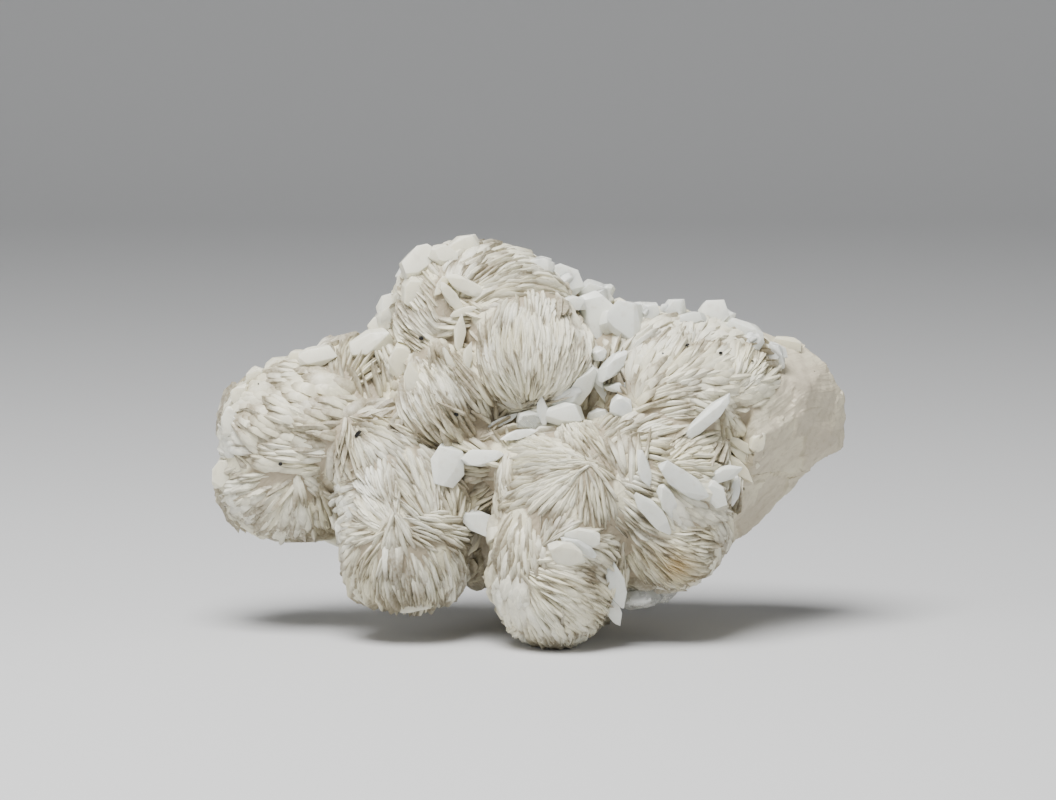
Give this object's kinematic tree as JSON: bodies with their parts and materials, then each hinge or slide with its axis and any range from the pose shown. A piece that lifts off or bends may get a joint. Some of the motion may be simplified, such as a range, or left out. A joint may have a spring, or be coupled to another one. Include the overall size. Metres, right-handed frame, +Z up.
{
  "type": "barite crystal cluster",
  "caption": "Lobed cluster of white to cream barite rosettes made of thin tabular blades, with blocky crystals between them, on broken massive barite; stands on a flat spot and a rear foot.",
  "frame": {"origin": "on the surface it stands on, under the middle of its bounding box", "axes": "+Z up, -Y towards the viewer of the rosettes, +X to the broken end, along the longest side"},
  "size_m": [0.1284, 0.0624, 0.0809],
  "materials": {
    "barite": "natural barite, white to cream, satin on the blades and waxy on the thicker crystals"
  },
  "bodies": {
    "root": {"barite_cluster": "barite"}
  },
  "joints": []
}
